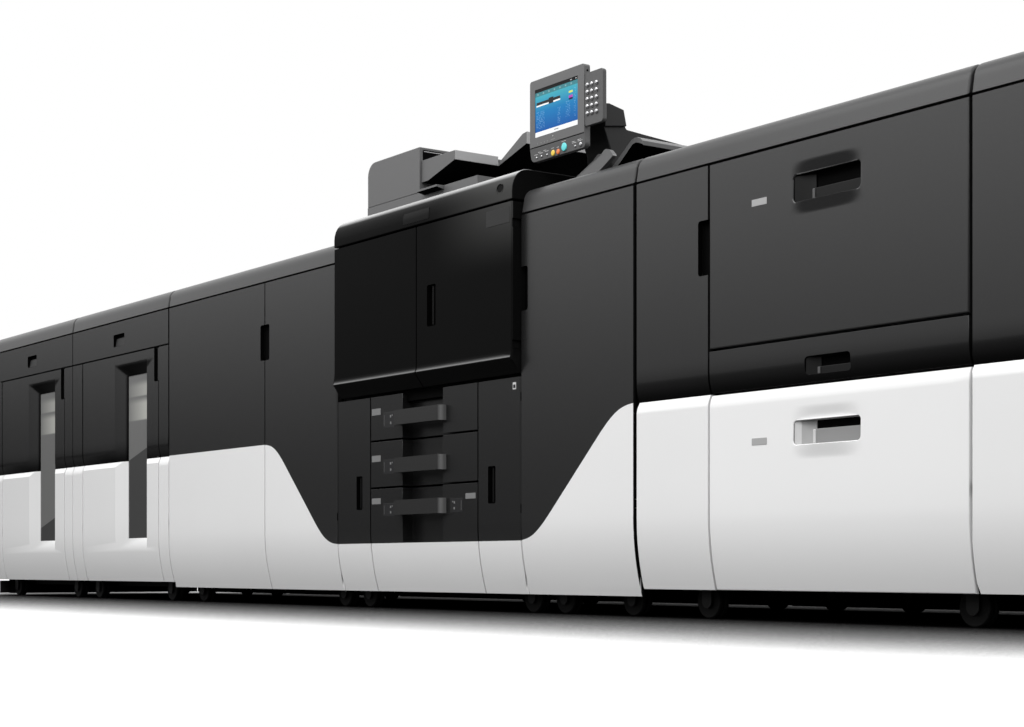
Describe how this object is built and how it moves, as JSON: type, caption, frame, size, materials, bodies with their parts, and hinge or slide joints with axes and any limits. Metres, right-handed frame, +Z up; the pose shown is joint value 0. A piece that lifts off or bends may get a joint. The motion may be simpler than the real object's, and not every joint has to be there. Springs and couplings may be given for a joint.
{
  "type": "digital production printer",
  "caption": "Production printer line: joined cabinets on casters with doors, paper drawers, sheet stackers, a document feeder and a tilting control panel.",
  "frame": {"origin": "on the floor under the middle of the line's footprint", "axes": "+X along the line towards the paper feeders, +Y from the doors into the machine, +Z up"},
  "size_m": [6.682, 1.028, 1.4549],
  "materials": {
    "wheel": "matt",
    "fork": "satin",
    "frame": "matt",
    "cover": "fine grain, satin",
    "steel": "zinc plated",
    "dark_panel": "fine grain, satin",
    "pale_panel": "fine grain, satin",
    "gloss_black": "gloss",
    "pane": "tinted, gloss",
    "grey_plastic": "fine grain, satin"
  },
  "bodies": {
    "line": {"caster_wheels": "wheel", "caster_forks": "fork", "base_frames": "frame", "top_covers": "cover", "hinges": "steel", "drawer_rails": "steel", "stacker_1_cabinet": "dark_panel", "stacker_2_cabinet": "dark_panel", "stacker_tables": "grey_plastic", "stacker_fronts": "dark_panel", "delivery_cabinet": "dark_panel", "engine_cabinet": "gloss_black", "engine_top_cover": "gloss_black", "print_cabinet": "dark_panel", "feeder_1_cabinet": "dark_panel", "feeder_2_cabinet": "dark_panel", "panel_column": "dark_panel", "paper_guides": "grey_plastic", "exit_tray": "grey_plastic"},
    "stacker_1_door": {"stacker_1_door": "dark_panel", "stacker_1_window": "pane"},
    "stacker_2_door": {"stacker_2_door": "dark_panel", "stacker_2_window": "pane"},
    "delivery_left_door": {"delivery_left_door": "dark_panel"},
    "delivery_right_door": {"delivery_right_door": "dark_panel"},
    "engine_left_door": {"engine_left_door": "gloss_black"},
    "engine_right_door": {"engine_right_door": "gloss_black"},
    "engine_lower_left_cover": {"engine_lower_left_cover": "dark_panel"},
    "engine_lower_right_cover": {"engine_lower_right_cover": "dark_panel"},
    "cassette_1": {"cassette_1": "dark_panel"},
    "cassette_2": {"cassette_2": "dark_panel"},
    "cassette_3": {"cassette_3": "dark_panel"},
    "print_door": {"print_door": "dark_panel"},
    "feeder_1_side_door": {"feeder_1_side_door": "dark_panel"},
    "feeder_1_upper_drawer": {"feeder_1_upper_drawer": "dark_panel"},
    "feeder_1_middle_drawer": {"feeder_1_middle_drawer": "dark_panel"},
    "feeder_1_lower_drawer": {"feeder_1_lower_drawer": "pale_panel"},
    "feeder_2_side_door": {"feeder_2_side_door": "dark_panel"},
    "feeder_2_upper_drawer": {"feeder_2_upper_drawer": "dark_panel"},
    "feeder_2_middle_drawer": {"feeder_2_middle_drawer": "dark_panel"},
    "feeder_2_lower_drawer": {"feeder_2_lower_drawer": "pale_panel"},
    "document_lid": {"document_cover": "grey_plastic", "document_feeder": "grey_plastic", "document_tray": "grey_plastic"},
    "control_panel": {"control_panel": "grey_plastic"}
  },
  "joints": [
    {"name": "stacker_1_door_hinge", "type": "hinge", "parent": "line", "child": "stacker_1_door", "pos_m": [-3.228, -0.478, 0.6], "axis": [0, 0, -1], "range_deg": [0, 90]},
    {"name": "stacker_2_door_hinge", "type": "hinge", "parent": "line", "child": "stacker_2_door", "pos_m": [-2.312, -0.478, 0.6], "axis": [0, 0, -1], "range_deg": [0, 90]},
    {"name": "delivery_left_door_hinge", "type": "hinge", "parent": "line", "child": "delivery_left_door", "pos_m": [-1.499, -0.478, 0.6], "axis": [0, 0, -1], "range_deg": [0, 90]},
    {"name": "delivery_right_door_hinge", "type": "hinge", "parent": "line", "child": "delivery_right_door", "pos_m": [-0.287, -0.478, 0.6], "axis": [0, 0, 1], "range_deg": [0, 90]},
    {"name": "engine_left_door_hinge", "type": "hinge", "parent": "line", "child": "engine_left_door", "pos_m": [-0.236, -0.506, 0.6], "axis": [0, 0, -1], "range_deg": [0, 90]},
    {"name": "engine_right_door_hinge", "type": "hinge", "parent": "line", "child": "engine_right_door", "pos_m": [0.703, -0.506, 0.6], "axis": [0, 0, 1], "range_deg": [0, 90]},
    {"name": "engine_lower_left_cover_hinge", "type": "hinge", "parent": "line", "child": "engine_lower_left_cover", "pos_m": [-0.261, -0.478, 0.6], "axis": [0, 0, -1], "range_deg": [0, 90]},
    {"name": "engine_lower_right_cover_hinge", "type": "hinge", "parent": "line", "child": "engine_lower_right_cover", "pos_m": [0.703, -0.478, 0.6], "axis": [0, 0, 1], "range_deg": [0, 90]},
    {"name": "cassette_1_slide", "type": "slide", "parent": "line", "child": "cassette_1", "axis": [0, -1, 0], "range_m": [0, 0.47]},
    {"name": "cassette_2_slide", "type": "slide", "parent": "line", "child": "cassette_2", "axis": [0, -1, 0], "range_m": [0, 0.47]},
    {"name": "cassette_3_slide", "type": "slide", "parent": "line", "child": "cassette_3", "axis": [0, -1, 0], "range_m": [0, 0.47]},
    {"name": "print_door_hinge", "type": "hinge", "parent": "line", "child": "print_door", "pos_m": [1.191, -0.478, 0.6], "axis": [0, 0, 1], "range_deg": [0, 90]},
    {"name": "feeder_1_side_door_hinge", "type": "hinge", "parent": "line", "child": "feeder_1_side_door", "pos_m": [1.217, -0.478, 0.6], "axis": [0, 0, -1], "range_deg": [0, 90]},
    {"name": "feeder_1_upper_drawer_slide", "type": "slide", "parent": "line", "child": "feeder_1_upper_drawer", "axis": [0, -1, 0], "range_m": [0, 0.52]},
    {"name": "feeder_1_middle_drawer_slide", "type": "slide", "parent": "line", "child": "feeder_1_middle_drawer", "axis": [0, -1, 0], "range_m": [0, 0.52]},
    {"name": "feeder_1_lower_drawer_slide", "type": "slide", "parent": "line", "child": "feeder_1_lower_drawer", "axis": [0, -1, 0], "range_m": [0, 0.52]},
    {"name": "feeder_2_side_door_hinge", "type": "hinge", "parent": "line", "child": "feeder_2_side_door", "pos_m": [2.287, -0.478, 0.6], "axis": [0, 0, -1], "range_deg": [0, 90]},
    {"name": "feeder_2_upper_drawer_slide", "type": "slide", "parent": "line", "child": "feeder_2_upper_drawer", "axis": [0, -1, 0], "range_m": [0, 0.52]},
    {"name": "feeder_2_middle_drawer_slide", "type": "slide", "parent": "line", "child": "feeder_2_middle_drawer", "axis": [0, -1, 0], "range_m": [0, 0.52]},
    {"name": "feeder_2_lower_drawer_slide", "type": "slide", "parent": "line", "child": "feeder_2_lower_drawer", "axis": [0, -1, 0], "range_m": [0, 0.52]},
    {"name": "document_lid_hinge", "type": "hinge", "parent": "line", "child": "document_lid", "pos_m": [0.054, 0.132, 1.24], "axis": [-1, 0, 0], "range_deg": [0, 65]},
    {"name": "control_panel_tilt", "type": "hinge", "parent": "line", "child": "control_panel", "pos_m": [0.873, -0.382, 1.34], "axis": [-1, 0, 0], "range_deg": [0, 45]}
  ]
}
